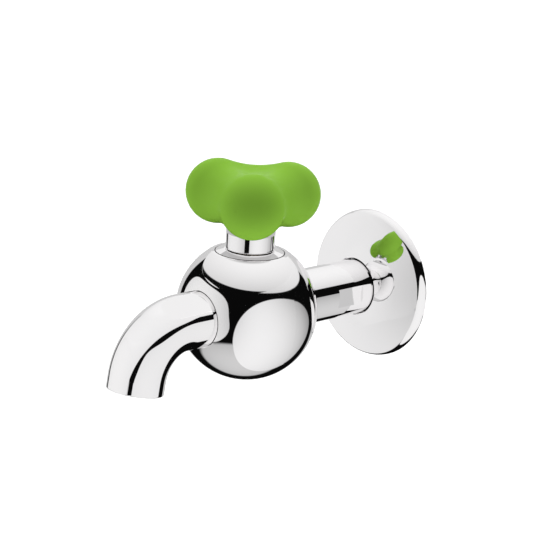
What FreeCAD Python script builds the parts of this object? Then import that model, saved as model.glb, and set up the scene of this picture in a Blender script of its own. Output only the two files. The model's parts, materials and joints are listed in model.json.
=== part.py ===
# Wall-mounted bib tap: a ball body, a curved spout, a three-lobed handle on a polished neck and
# a quarter-turn headwork with ceramic discs. Lengths are millimetres and angles degrees.
# +Z is up. The wall is the plane Y = 0, the inlet axis is the Y axis, and the tap stands out
# from the wall towards -Y. The handle axis is vertical and passes through the ball's centre.

import FreeCAD, Part
import math
import os
import re
import Sketcher

driving_sizes = {
    # Ball body
    "ball_reach": 70.0,            # wall plane to ball centre
    "ball_radius": 27.5,
    "cavity_radius": 22.0,         # spherical water chamber
    "cavity_half_length": 16.5,    # chamber stops here, so that each pipe joint has a boss
    "cavity_top": 9.5,
    "weir_wall": 3.0,              # partition between the inlet and outlet chambers
    "well_half_length": 9.5,       # room for the headwork between the weir's walls
    "seat_level": -2.0,            # top of the valve seat
    "seat_bore": 5.5,              # radius of the opening in the seat
    "shelf_level": 8.0,            # weir shelves lie this far above and below the centre
    "passage_radius": 7.5,         # water way in the joints and the inlet tube
    # Pipe joints in the ball, the same for the inlet tube and the spout
    "tube_radius": 11.0,
    "joint_shoulder": 24.0,        # ball centre to the shoulder of a joint
    "spigot_radius": 10.0,
    "spigot_length": 5.5,
    "joint_washer_height": 1.0,
    "joint_gap": 0.05,             # radial gap round a spigot in the ball
    "tube_gap": 0.2,               # radial gap round the tube or spout at the ball's surface
    # Inlet tube
    "tail_radius": 10.478,         # outside of the half-inch pipe thread
    "tail_length": 15.0,           # how far the thread reaches into the wall
    "tail_run": 3.0,               # thread left in front of the wall, under the flange
    "tail_chamfer": 1.0,
    "tail_step_length": 0.5,
    "flats_width": 20.7,           # spanner size across the two flats
    "flats_start": 16.4,           # wall to the nearer end of the flats
    "flats_length": 13.3,
    # Wall flange
    "flange_radius": 30.0,
    "flange_edge": 0.3,
    "rim_radius": 4.0,             # rounding of the rim up to the dome
    "dome_start": 28.3,
    "dome_start_height": 3.5,
    "dome_outer_radius": 103.5,    # the dome is flatter outside than near the tube
    "dome_middle": 20.0,
    "dome_middle_height": 7.90,
    "dome_radius": 46.8,
    "flange_height": 10.9,
    "flange_bore_gap": 0.35,
    "flange_lip": 0.35,
    "flange_wall": 1.2,
    "underside_drop": 0.5,
    "collar_radius": 13.6,
    "collar_height": 4.7,
    "grip_groove_depth": 1.45,
    "grip_groove_width": 2.2,
    "grip_groove_start": 1.3,      # from the flange's hole edge to the groove
    "grip_cord": 0.85,             # cord radius of the ring that grips the tube
    "grip_gap": 0.05,
    # Spout
    "spout_run": 34.0,             # ball centre to the start of the bend
    "spout_bend": 21.0,
    "spout_turn": 81.4,
    "spout_end": 5.3,
    "spout_bore": 8.5,
    "mouth_rounding": 0.5,
    # Flow straightener in the spout's mouth
    "aerator_radius": 9.25,
    "aerator_gap": 0.05,
    "aerator_recess": 0.8,
    "aerator_length": 6.2,
    "aerator_wall": 1.1,
    "aerator_lip": 0.9,
    "aerator_washer_height": 1.2,
    "aerator_washer_hole": 6.6,
    "key_slot_width": 2.0,
    "key_slot_depth": 1.0,
    "insert_height": 2.4,
    "insert_hole": 0.75,
    "insert_ring": 5.2,
    "ring_holes": 12,              # holes on the outer ring, with half as many inside
    "screen_height": 0.8,
    "screen_hole": 1.1,
    "screen_pitch": 2.9,
    # Headwork body
    "thread_radius": 10.48,
    "thread_gap": 0.08,
    "headwork_radius": 8.9,
    "headwork_foot": 0.6,          # how far its lower end stays off the seat
    "headwork_cup": 7.1,           # radius of the cup that holds the discs
    "thread_start": 10.3,
    "gasket_level": 18.0,          # floor of the recess in the ball's top
    "gasket_height": 1.0,
    "gasket_radius": 13.2,
    "hex_width": 22.0,
    "hex_height": 3.4,
    "neck_radius": 7.0,
    "neck_top": 27.0,
    "edge_chamfer": 0.6,
    "window_width": 8.0,
    "window_gap": 0.3,
    "recess_radius": 13.6,
    "ball_top_level": 23.0,        # narrow flat land round the recess
    # Bonnet ring between the ball and the handle's neck
    "bonnet_gap": 0.1,
    "bonnet_radius": 13.25,
    "bonnet_rim_height": 0.6,
    "bonnet_height": 1.45,
    "bonnet_land": 9.9,
    # Discs and seals
    "seal_height": 3.0,
    "seal_wall": 2.0,
    "disc_radius": 7.0,
    "fixed_disc_height": 2.6,
    "turning_disc_height": 3.2,
    "disc_gap": 0.04,
    "port_inner": 1.6,
    "port_outer": 5.8,
    "port_angle": 76.0,
    "ear_width": 3.0,
    "ear_reach": 8.0,
    "ear_gap": 0.1,
    # Spindle
    "spindle_radius": 4.0,
    "running_gap": 0.05,
    "driver_radius": 5.9,
    "driver_gap": 0.15,
    "driver_height": 2.2,
    "stop_reach": 6.9,
    "stop_width": 30.0,            # angle that the stop lug takes up
    "stop_slack": 2.0,             # angle that the lug has to spare between its stops
    "handle_travel": 90.0,         # quarter turn from shut to open
    "slip_height": 0.6,
    "end_float": 0.06,
    "spindle_top": 36.5,
    "ring_groove": 3.0,            # radius at the bottom of the seal grooves
    "ring_groove_width": 1.3,
    "lower_ring_level": 13.0,
    "upper_ring_level": 17.0,
    "ring_cord": 0.5,
    "clip_groove": 3.2,
    "clip_height": 0.8,
    "clip_radius": 5.6,
    "clip_opening": 4.0,
    "spline_level": 28.6,
    "spline_teeth": 18,
    "spline_depth": 0.45,
    # Handle
    "neck_gap": 0.2,               # between the bonnet ring and the turning neck
    "hub_radius": 9.5,
    "hub_rounding": 0.6,           # at the lower edge of the polished neck
    "hub_top": 36.6,
    "hub_cavity": 7.5,
    "hub_floor": 28.4,
    "socket_gap": 0.04,
    "post_radius": 6.5,
    "post_waist": 5.3,
    "post_top": 48.5,
    "post_head": 3.0,
    "grub_radius": 2.0,
    "grub_level": 31.0,
    "grub_length": 4.8,
    "grub_socket": 1.0,
    "lobe_radius": 12.6,
    "lobe_circle_radius": 15.6,    # handle axis to the centre of each lobe
    "lobe_level": 44.5,
    "web_radius": 36.0,            # hollow rounding between the lobes
    "handle_heading": -44.0,
}

doc = FreeCAD.newDocument("bib_tap")
sheet = doc.addObject("Spreadsheet::Sheet", "sizes")
for row, (size_name, size_value) in enumerate(driving_sizes.items(), start=1):
    sheet.set(f"A{row}", size_name)
    sheet.set(f"B{row}", str(size_value))
    sheet.setAlias(f"B{row}", size_name)
doc.recompute()

# Levels that follow from the driving sizes, from the ball's centre upwards
seal_top = "(seat_level + seal_height)"
fixed_top = f"({seal_top} + fixed_disc_height)"
turning_floor = f"({fixed_top} + disc_gap)"
turning_top = f"({turning_floor} + turning_disc_height)"
driver_top = f"({turning_top} + driver_height)"
slip_top = f"({driver_top} + slip_height)"
cup_top = f"({slip_top} + end_float)"
headwork_floor = "(seat_level + headwork_foot)"
hex_floor = "(gasket_level + gasket_height)"
hex_top = f"({hex_floor} + hex_height)"
bonnet_floor = f"({hex_top} + bonnet_gap)"
bonnet_top = f"({bonnet_floor} + bonnet_height)"
hub_bottom = f"({bonnet_top} + neck_gap)"
clip_floor = "(neck_top + bonnet_gap)"
clip_top = f"({clip_floor} + clip_height)"
stem_bore = "(spindle_radius + running_gap)"
spigot_tip = "(joint_shoulder - spigot_length)"
passage_start = f"({spigot_tip} - joint_washer_height)"
turn = "(spout_turn * 1 deg)"
x_axis = FreeCAD.Vector(1, 0, 0)
z_axis = FreeCAD.Vector(0, 0, 1)


def bound(formula):
    # Puts the sheet's name before each size that a formula names.
    def with_sheet(word):
        text = word.group()
        return "sizes." + text if text in driving_sizes else text
    return re.sub(r"[a-z_]{3,}", with_sheet, formula)


def value(formula):
    return float(sheet.evalExpression(bound(formula)))


def bind(item, **formulas):
    for place, formula in formulas.items():
        item.setExpression(place.replace("__", "."), bound(formula))


def primitive(kind, name, **formulas):
    item = doc.addObject("Part::" + kind, name)
    bind(item, **formulas)
    return item


def cut(name, base, *tools):
    # One body less one or more tools, taken off one after the other.
    result = base
    for number, tool in enumerate(tools, start=1):
        last = number == len(tools)
        step = doc.addObject("Part::Cut", name if last else f"{name}_step_{number}")
        step.Base = result
        step.Tool = tool
        result = step
    return result


def fuse(name, *shapes):
    result = doc.addObject("Part::MultiFuse", name)
    result.Shapes = list(shapes)
    result.Refine = True
    return result


def lay(item, axis, angle, **formulas):
    # Turns an object about an axis by a fixed angle and places it by formulas.
    item.Placement = FreeCAD.Placement(FreeCAD.Vector(0, 0, 0), FreeCAD.Rotation(axis, angle))
    bind(item, **formulas)


def origin_plane(body, role):
    return next(item for item in body.Origin.OriginFeatures if item.Role == role)


def new_sketch(body, name, role):
    sketch = body.newObject("Sketcher::SketchObject", name)
    sketch.AttachmentSupport = (origin_plane(body, role), [""])
    sketch.MapMode = "FlatFace"
    return sketch


def constrain(sketch, formula, *constraint):
    index = sketch.addConstraint(Sketcher.Constraint(*constraint, value(formula)))
    sketch.setExpression(f"Constraints[{index}]", bound(formula))


def arc_between(start, end, radius, bulges_out):
    # The short arc between two points, travelled with the material on its left.
    chord = end - start
    half = chord.Length / 2
    left = FreeCAD.Vector(-chord.y, chord.x, 0).normalize()
    side = 1 if bulges_out else -1
    centre = (start + end) * 0.5 + left * (side * math.sqrt(radius ** 2 - half ** 2))
    first, last = (start, end) if bulges_out else (end, start)
    angles = [math.atan2(point.y - centre.y, point.x - centre.x) for point in (first, last)]
    if angles[1] < angles[0]:
        angles[1] += 2 * math.pi
    return Part.ArcOfCircle(Part.Circle(centre, z_axis, radius), *angles)


def draw_outline(sketch, corners):
    # A closed outline with the material on its left. Each corner is (across, up), and a third
    # entry makes the edge to the next corner an arc: "out" or "in" before the radius.
    points = [FreeCAD.Vector(value(corner[0]), value(corner[1]), 0) for corner in corners]
    first_ends = []
    last_ends = []
    for index, corner in enumerate(corners):
        start = points[index]
        end = points[(index + 1) % len(points)]
        if len(corner) == 2:
            sketch.addGeometry(Part.LineSegment(start, end), False)
            first_ends.append(1)
            last_ends.append(2)
            continue
        bulges_out = corner[2] == "out"
        sketch.addGeometry(arc_between(start, end, value(corner[3]), bulges_out), False)
        first_ends.append(1 if bulges_out else 2)
        last_ends.append(2 if bulges_out else 1)
    for index, corner in enumerate(corners):
        following = (index + 1) % len(corners)
        joint = (index, last_ends[index], following, first_ends[following])
        sketch.addConstraint(Sketcher.Constraint("Coincident", *joint))
        constrain(sketch, corner[0], "DistanceX", -1, 1, index, first_ends[index])
        constrain(sketch, corner[1], "DistanceY", -1, 1, index, first_ends[index])
        if len(corner) > 2:
            constrain(sketch, corner[3], "Radius", index)


def turned(name, corners):
    # A body turned about its own Z axis.
    body = doc.addObject("PartDesign::Body", name)
    sketch = new_sketch(body, name + "_outline", "XZ_Plane")
    draw_outline(sketch, corners)
    revolution = body.newObject("PartDesign::Revolution", name + "_turning")
    revolution.Profile = sketch
    revolution.ReferenceAxis = (sketch, ["V_Axis"])
    revolution.Angle = 360
    return body


def ring(name, inner, outer, floor, top):
    return turned(name, [(inner, floor), (outer, floor), (outer, top), (inner, top)])


def wedge(name, radius, height, floor, angle, heading):
    # A slice of a cylinder centred on a heading.
    item = primitive("Cylinder", name, Radius=radius, Height=height, Angle=angle)
    lay(item, z_axis, 1, Placement__Base__z=floor)
    bind(item, Placement__Rotation__Angle=f"({heading}) - ({angle}) / 2")
    return item


def over_ball(item):
    # Upright pieces are drawn round the ball's centre and then moved out from the wall.
    bind(item, Placement__Base__y="-ball_reach")
    return item


def out_from_wall(item, distance="0"):
    # Pieces drawn along +Z are turned to point out of the wall.
    lay(item, x_axis, 90, Placement__Base__y=f"-({distance})")
    return item


def at_mouth(item):
    # Pieces drawn along +Z are turned to point out of the spout's mouth.
    reach = f"ball_reach + spout_run + spout_bend * sin{turn} + spout_end * cos{turn}"
    drop = f"spout_bend * (1 - cos{turn}) + spout_end * sin{turn}"
    lay(item, x_axis, 171, Placement__Base__y=f"-({reach})", Placement__Base__z=f"-({drop})")
    bind(item, Placement__Rotation__Angle="90 + spout_turn")
    return item


def ball_body():
    ball = primitive("Sphere", "ball_outside", Radius="ball_radius")
    chamber_ball = primitive("Sphere", "chamber_ball", Radius="cavity_radius")
    far = "(cavity_radius + weir_wall)"
    chamber_block = primitive("Box", "chamber_block", Length=f"2 * {far}",
                              Width="2 * cavity_half_length", Height=f"{far} + cavity_top")
    bind(chamber_block, Placement__Base__x="-" + far, Placement__Base__y="-cavity_half_length",
         Placement__Base__z="-" + far)
    chamber = doc.addObject("Part::Common", "chamber")
    chamber.Base = chamber_ball
    chamber.Tool = chamber_block

    # The weir leads water under the seat on the wall side and away above it on the spout side.
    weir = doc.addObject("PartDesign::Body", "weir")
    sketch = new_sketch(weir, "weir_outline", "YZ_Plane")
    wall_outside = "(well_half_length + weir_wall)"
    draw_outline(sketch, [
        ("well_half_length", far), ("well_half_length", "seat_level"),
        ("-" + wall_outside, "seat_level"), ("-" + wall_outside, "-shelf_level"),
        ("-" + far, "-shelf_level"), ("-" + far, "-shelf_level - weir_wall"),
        ("-well_half_length", "-shelf_level - weir_wall"),
        ("-well_half_length", "seat_level - weir_wall"),
        (wall_outside, "seat_level - weir_wall"), (wall_outside, "shelf_level"),
        (far, "shelf_level"), (far, far)])
    pad = weir.newObject("PartDesign::Pad", "weir_pad")
    pad.Profile = sketch
    pad.SideType = "Symmetric"
    bind(pad, Length="2 * cavity_radius + weir_wall")
    plates = doc.addObject("Part::Common", "weir_plates")
    plates.Base = primitive("Sphere", "weir_limit", Radius="(cavity_radius + ball_radius) / 2")
    plates.Tool = weir
    casting = fuse("ball_casting", cut("hollow_ball", ball, chamber), plates)

    seat = primitive("Cylinder", "seat_opening", Radius="seat_bore", Height="2 * weir_wall",
                     Placement__Base__z="seat_level - 1.5 * weir_wall")
    bore = primitive("Cylinder", "headwork_bore", Radius="thread_radius",
                     Height="gasket_level - cavity_top", Placement__Base__z="cavity_top")
    recess = primitive("Cylinder", "bonnet_recess", Radius="recess_radius",
                       Height="ball_radius - gasket_level", Placement__Base__z="gasket_level")
    top_land = primitive("Cylinder", "top_land", Radius="ball_radius",
                         Height="ball_radius - ball_top_level",
                         Placement__Base__z="ball_top_level")
    openings = [seat, bore, recess, top_land]
    for side, angle, sign in (("inlet", -90, ""), ("outlet", 90, "-")):
        steps = (("socket", "tube_radius + tube_gap", "joint_shoulder", "ball_radius"),
                 ("thread", "spigot_radius + joint_gap", passage_start, "ball_radius"),
                 ("passage", "passage_radius", "well_half_length + weir_wall", "ball_radius"))
        for step, radius, start, end in steps:
            hole = primitive("Cylinder", f"{side}_{step}", Radius=radius, Height=f"{end} - ({start})")
            lay(hole, x_axis, angle, Placement__Base__y=f"{sign}({start})")
            openings.append(hole)
    return over_ball(cut("ball_body", casting, *openings))


def inlet_tube():
    tube_end = f"ball_reach - {spigot_tip}"
    turning = turned("inlet_turning", [
        ("passage_radius", "-tail_length"), ("tail_radius - tail_chamfer", "-tail_length"),
        ("tail_radius", "-tail_length + tail_chamfer"), ("tail_radius", "tail_run"),
        ("tube_radius", "tail_run + tail_step_length"), ("tube_radius", "ball_reach - joint_shoulder"),
        ("spigot_radius", "ball_reach - joint_shoulder"), ("spigot_radius", tube_end),
        ("passage_radius", tube_end)])
    flats = []
    for side, place in (("left", "-flats_width / 2 - tube_radius"), ("right", "flats_width / 2")):
        flat = primitive("Box", side + "_flat", Length="tube_radius", Width="2 * tube_radius",
                         Height="flats_length", Placement__Base__x=place,
                         Placement__Base__y="-tube_radius", Placement__Base__z="flats_start")
        flats.append(flat)
    return out_from_wall(cut("inlet_tube", turning, *flats))


def joint_washers():
    for name, side in (("inlet_washer", "ball_reach - "), ("spout_washer", "ball_reach + ")):
        washer = ring(name, "passage_radius", "spigot_radius", "0", "joint_washer_height")
        angle = 90 if side.endswith("+ ") else -90
        lay(washer, x_axis, angle, Placement__Base__y=f"-({side}{passage_start})")


def wall_flange():
    bore = "(tube_radius + flange_bore_gap)"
    groove_top = "(flange_height - grip_groove_start)"
    groove_floor = f"({groove_top} - grip_groove_width)"
    groove_radius = f"({bore} + grip_groove_depth)"
    collar_floor = "flange_height - collar_height"
    flange = turned("wall_flange", [
        ("flange_radius - flange_wall", "0"), ("flange_radius", "0"),
        ("flange_radius", "flange_edge", "out", "rim_radius"),
        ("dome_start", "dome_start_height", "out", "dome_outer_radius"),
        ("dome_middle", "dome_middle_height", "out", "dome_radius"),
        (bore + " + flange_lip", "flange_height"), (bore, "flange_height - flange_lip"),
        (bore, groove_top), (groove_radius, groove_top),
        (groove_radius, groove_floor), (bore, groove_floor),
        (bore, collar_floor), ("collar_radius", collar_floor),
        ("collar_radius", "flange_height - flange_wall - underside_drop",
         "in", "dome_outer_radius - flange_wall"),
        ("dome_start - flange_wall", "dome_start_height - underside_drop")])
    out_from_wall(flange)

    cord_circle = "tube_radius + grip_gap + grip_cord"
    grip = primitive("Torus", "flange_grip_ring", Radius1=cord_circle, Radius2="grip_cord")
    out_from_wall(grip, f"{groove_top} - grip_groove_width / 2")


def spout_tube():
    spout = doc.addObject("PartDesign::Body", "spout_bent")
    path = new_sketch(spout, "spout_path", "YZ_Plane")
    run = value("spout_run - joint_shoulder")
    bend = value("spout_bend")
    angle = math.radians(value("spout_turn"))
    end = value("spout_end")
    bend_start = FreeCAD.Vector(0, run, 0)
    centre = FreeCAD.Vector(-bend, run, 0)
    bend_end = centre + FreeCAD.Vector(bend * math.cos(angle), bend * math.sin(angle), 0)
    mouth = bend_end + FreeCAD.Vector(-end * math.sin(angle), end * math.cos(angle), 0)
    path.addGeometry(Part.LineSegment(FreeCAD.Vector(0, 0, 0), bend_start), False)
    path.addGeometry(Part.ArcOfCircle(Part.Circle(centre, z_axis, bend), 0, angle), False)
    path.addGeometry(Part.LineSegment(bend_end, mouth), False)
    path.addConstraint(Sketcher.Constraint("Coincident", 0, 1, -1, 1))
    path.addConstraint(Sketcher.Constraint("Vertical", 0))
    path.addConstraint(Sketcher.Constraint("Tangent", 0, 2, 1, 1))
    path.addConstraint(Sketcher.Constraint("Tangent", 1, 2, 2, 1))
    constrain(path, "spout_run - joint_shoulder", "DistanceY", 0, 1, 0, 2)
    constrain(path, "spout_bend", "Radius", 1)
    constrain(path, "spout_end", "Distance", 2)
    heading = path.addConstraint(Sketcher.Constraint("Angle", 2, math.pi / 2 + angle))
    path.setExpression(f"Constraints[{heading}]", bound("(90 + spout_turn) * 1 deg"))

    def circle(name, radius):
        sketch = new_sketch(spout, name, "XY_Plane")
        sketch.addGeometry(Part.Circle(FreeCAD.Vector(0, 0, 0), z_axis, value(radius)), False)
        sketch.addConstraint(Sketcher.Constraint("Coincident", 0, 3, -1, 1))
        constrain(sketch, radius, "Radius", 0)
        return sketch

    outside = spout.newObject("PartDesign::AdditivePipe", "spout_outside")
    outside.Profile = circle("spout_section", "tube_radius")
    outside.Spine = (path, ["Edge1", "Edge2", "Edge3"])
    spigot = spout.newObject("PartDesign::Pad", "spout_spigot")
    spigot.Profile = circle("spigot_section", "spigot_radius")
    spigot.Reversed = True
    bind(spigot, Length="spigot_length")
    inside = spout.newObject("PartDesign::SubtractivePipe", "spout_inside")
    inside.Profile = circle("bore_section", "spout_bore")
    inside.Spine = (path, ["Edge1", "Edge2", "Edge3"])
    passage = spout.newObject("PartDesign::Pocket", "spout_passage")
    passage.Profile = circle("passage_section", "passage_radius")
    bind(passage, Length="spigot_length")
    out_from_wall(spout, "ball_reach + joint_shoulder")

    seat_depth = "aerator_recess + aerator_length + aerator_washer_height"
    mouth_recess = primitive("Cylinder", "mouth_recess", Radius="aerator_radius + aerator_gap",
                             Height=f"2 * ({seat_depth})", Placement__Base__z=f"-({seat_depth})")
    mouth_tool = doc.addObject("Part::MultiFuse", "mouth_tool")
    edge_ring = turned("mouth_edge", [
        ("tube_radius - mouth_rounding", "0", "in", "mouth_rounding"),
        ("tube_radius", "-mouth_rounding"),
        ("tube_radius + mouth_rounding", "-mouth_rounding"),
        ("tube_radius + mouth_rounding", "mouth_rounding"),
        ("tube_radius - mouth_rounding", "mouth_rounding")])
    mouth_tool.Shapes = [mouth_recess, edge_ring]
    at_mouth(mouth_tool)
    cut("spout_tube", spout, mouth_tool)


def aerator():
    housing_top = "(-aerator_recess)"
    housing_floor = f"({housing_top} - aerator_length)"
    inside = "(aerator_radius - aerator_wall)"
    housing = turned("aerator_shell", [
        (inside, housing_floor), ("aerator_radius", housing_floor),
        ("aerator_radius", housing_top), (f"{inside} - aerator_lip", housing_top),
        (f"{inside} - aerator_lip", f"{housing_top} - aerator_lip"),
        (inside, f"{housing_top} - aerator_lip - aerator_lip")])
    slots = []
    for name, length, width in (("key_slot_across", "2 * aerator_radius", "key_slot_width"),
                                ("key_slot_upright", "key_slot_width", "2 * aerator_radius")):
        slot = primitive("Box", name, Length=length, Width=width, Height="2 * key_slot_depth",
                         Placement__Base__x=f"-({length}) / 2", Placement__Base__y=f"-({width}) / 2",
                         Placement__Base__z=f"{housing_top} - key_slot_depth")
        slots.append(slot)
    at_mouth(cut("aerator_housing", housing, *slots))

    plate_radius = f"{inside} - aerator_gap"
    insert_top = f"({housing_top} - 2 * aerator_lip - aerator_gap)"
    insert = primitive("Cylinder", "insert_plate", Radius=plate_radius, Height="insert_height",
                       Placement__Base__z=f"{insert_top} - insert_height")
    outer = round(value("ring_holes"))
    inner = outer // 2
    holes = hole_circle("insert_holes", "insert_hole", "insert_ring", outer, insert_top, "insert_height")
    holes += hole_circle("insert_core", "insert_hole", "insert_ring / 2", inner, insert_top,
                         "insert_height")
    at_mouth(cut("aerator_insert", insert, *holes))

    screen_top = f"({insert_top} - insert_height - aerator_gap)"
    screen = primitive("Cylinder", "screen_plate", Radius=plate_radius, Height="screen_height",
                       Placement__Base__z=f"{screen_top} - screen_height")
    meshes = hole_circle("screen_outer", "screen_hole", "2 * screen_pitch", outer, screen_top,
                         "screen_height")
    meshes += hole_circle("screen_inner", "screen_hole", "screen_pitch", inner, screen_top,
                          "screen_height")
    at_mouth(cut("aerator_screen", screen, *meshes))

    washer = ring("aerator_washer", "aerator_washer_hole", "aerator_radius",
                  f"{housing_floor} - aerator_washer_height", housing_floor)
    at_mouth(washer)


def hole_circle(name, radius, circle, count, top, height):
    holes = []
    for number in range(count):
        angle = f"({number} * 360 / {count} * 1 deg)"
        hole = primitive("Cylinder", f"{name}_{number}", Radius=radius, Height=f"3 * {height}",
                         Placement__Base__x=f"{circle} * cos{angle}",
                         Placement__Base__y=f"{circle} * sin{angle}",
                         Placement__Base__z=f"{top} - 2 * {height}")
        holes.append(hole)
    return holes


def headwork_body():
    crest = "(thread_radius - thread_gap)"
    driver_room = "(driver_radius + driver_gap)"
    lathe_work = turned("headwork_turning", [
        ("headwork_cup", headwork_floor), ("headwork_radius - edge_chamfer", headwork_floor),
        ("headwork_radius", headwork_floor + " + edge_chamfer"), ("headwork_radius", "thread_start"),
        (crest, f"thread_start + {crest} - headwork_radius"), (crest, hex_floor),
        ("hex_width / 2", hex_floor), ("hex_width / 2", hex_top),
        ("neck_radius", hex_top), ("neck_radius", "neck_top - edge_chamfer"),
        ("neck_radius - edge_chamfer", "neck_top"), (stem_bore, "neck_top"),
        (stem_bore, cup_top), (driver_room, cup_top),
        (driver_room, turning_top + " + disc_gap"), ("headwork_cup", turning_top + " + disc_gap")])
    hexagon = primitive("Prism", "headwork_hexagon", Circumradius="hex_width / 2 / cos(30 deg)",
                        Height="hex_height", Placement__Base__z=hex_floor)
    hexagon.Polygon = 6
    hexagon_hole = primitive("Cylinder", "hexagon_hole", Radius="neck_radius", Height="hex_height",
                             Placement__Base__z=hex_floor)
    blank = fuse("headwork_blank", lathe_work, cut("headwork_nut", hexagon, hexagon_hole))

    sweep = wedge("stop_sweep", "stop_reach + driver_gap", f"{cup_top} - {turning_top}", turning_top,
                  "handle_travel + stop_width + stop_slack", "handle_travel / 2")
    window_height = f"{turning_top} - {turning_floor} - window_gap"
    windows = primitive("Box", "headwork_windows", Length="2 * thread_radius", Width="window_width",
                        Height=window_height, Placement__Base__x="-thread_radius",
                        Placement__Base__y="-window_width / 2",
                        Placement__Base__z=f"{turning_floor} + window_gap / 2")
    ear_slot = primitive("Box", "ear_slots", Length="ear_width + 2 * ear_gap",
                         Width="2 * (ear_reach + ear_gap)", Height=f"{fixed_top} - {headwork_floor}",
                         Placement__Base__x="-ear_width / 2 - ear_gap",
                         Placement__Base__y="-ear_reach - ear_gap", Placement__Base__z=headwork_floor)
    over_ball(cut("headwork_body", blank, sweep, windows, ear_slot))

    gasket = ring("headwork_gasket", "thread_radius", "gasket_radius", "gasket_level", hex_floor)
    over_ball(gasket)


def bonnet_ring():
    hole = "(neck_radius + bonnet_gap)"
    bonnet = turned("bonnet_ring", [
        (hole, bonnet_floor), ("bonnet_radius", bonnet_floor),
        ("bonnet_radius", bonnet_floor + " + bonnet_rim_height"),
        ("bonnet_land", bonnet_top), (hole, bonnet_top)])
    over_ball(bonnet)


def discs():
    seal = turned("seat_seal", [
        ("seat_bore", "seat_level"), ("seat_bore + seal_wall - edge_chamfer / 2", "seat_level"),
        ("headwork_cup - ear_gap", headwork_floor), ("headwork_cup - ear_gap", seal_top),
        ("seat_bore", seal_top)])
    over_ball(seal)

    for name, floor, height, heading in (
            ("fixed_disc", seal_top, "fixed_disc_height", 0),
            ("turning_disc", turning_floor, "turning_disc_height", 90)):
        blank = primitive("Cylinder", name + "_blank", Radius="disc_radius", Height=height,
                          Placement__Base__z=floor)
        ports = []
        reach = "port_outer" if name == "fixed_disc" else "2 * disc_radius"
        for side in (0, 180):
            slice_name = f"{name}_slice_{side}"
            port_slice = wedge(slice_name, reach, height, floor, "port_angle", heading + side)
            core = primitive("Cylinder", f"{slice_name}_core", Radius="port_inner", Height=height,
                             Placement__Base__z=floor)
            ports.append(cut(f"{slice_name}_port", port_slice, core))
        if name == "fixed_disc":
            ears = primitive("Box", "disc_ears", Length="ear_width", Width="2 * ear_reach",
                             Height=height, Placement__Base__x="-ear_width / 2",
                             Placement__Base__y="-ear_reach", Placement__Base__z=floor)
            blank = fuse("eared_disc", blank, ears)
        over_ball(cut(name, blank, *ports))


def spindle():
    outline = [("0", turning_top), ("driver_radius", turning_top), ("driver_radius", driver_top),
               ("spindle_radius", driver_top)]
    grooves = (("lower_ring_level", "ring_groove_width", "ring_groove"),
               ("upper_ring_level", "ring_groove_width", "ring_groove"),
               (f"{clip_floor} - disc_gap", "clip_height + 2 * disc_gap", "clip_groove"))
    for level, width, radius in grooves:
        outline += [("spindle_radius", level), (radius, level),
                    (radius, f"{level} + {width}"), ("spindle_radius", f"{level} + {width}")]
    outline += [("spindle_radius", "spindle_top - edge_chamfer"),
                ("spindle_radius - edge_chamfer", "spindle_top"), ("0", "spindle_top")]
    shaft = turned("spindle_shaft", outline)

    spline = new_sketch(shaft, "spline_gap", "XY_Plane")
    spline.AttachmentOffset = FreeCAD.Placement()
    bind(spline, AttachmentOffset__Base__z="spline_level")
    half_gap = "spindle_radius * sin(60 deg / spline_teeth)"
    draw_outline(spline, [("spindle_radius - spline_depth", "0"),
                          ("spindle_radius + spline_depth", "-2 * " + half_gap),
                          ("spindle_radius + spline_depth", "2 * " + half_gap)])
    pocket = shaft.newObject("PartDesign::Pocket", "spline_cut")
    pocket.Profile = spline
    pocket.Reversed = True
    bind(pocket, Length="spindle_top - spline_level + edge_chamfer")
    pattern = shaft.newObject("PartDesign::PolarPattern", "spline_pattern")
    pattern.Originals = [pocket]
    pattern.Axis = (spline, ["N_Axis"])
    pattern.Angle = 360
    bind(pattern, Occurrences="spline_teeth")
    shaft.Tip = pattern

    # The lug that meets the headwork's stops at both ends of the quarter turn
    lug = wedge("stop_lug", "stop_reach", "driver_height", turning_top, "stop_width", "0")
    over_ball(fuse("spindle", shaft, lug))

    washer = ring("slip_washer", stem_bore, "driver_radius", driver_top, slip_top)
    over_ball(washer)
    for name, level in (("lower_spindle_ring", "lower_ring_level"),
                        ("upper_spindle_ring", "upper_ring_level")):
        seal = primitive("Torus", name, Radius1="ring_groove + ring_cord + disc_gap / 2",
                         Radius2="ring_cord", Placement__Base__z=f"{level} + ring_groove_width / 2")
        over_ball(seal)

    clip_blank = ring("clip_blank", "clip_groove + disc_gap", "clip_radius", clip_floor, clip_top)
    clip_mouth = primitive("Box", "clip_mouth", Length="clip_opening", Width="2 * clip_radius",
                           Height="clip_height", Placement__Base__x="-clip_opening / 2",
                           Placement__Base__z=clip_floor)
    over_ball(cut("spindle_clip", clip_blank, clip_mouth))


def hub_outline(inside):
    # The outside of the hub with its waisted post, closed on the given inner corners.
    head_floor = "(post_top - post_head)"
    return [("hub_radius - hub_rounding", hub_bottom, "out", "hub_rounding"),
            ("hub_radius", hub_bottom + " + hub_rounding"),
            ("hub_radius", "hub_top"), ("post_radius", "hub_top"),
            ("post_radius", "hub_top + post_head"), ("post_waist", "hub_top + post_head"),
            ("post_waist", head_floor), ("post_radius", head_floor),
            ("post_radius", "post_top - edge_chamfer"),
            ("post_radius - edge_chamfer", "post_top")] + inside


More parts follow.
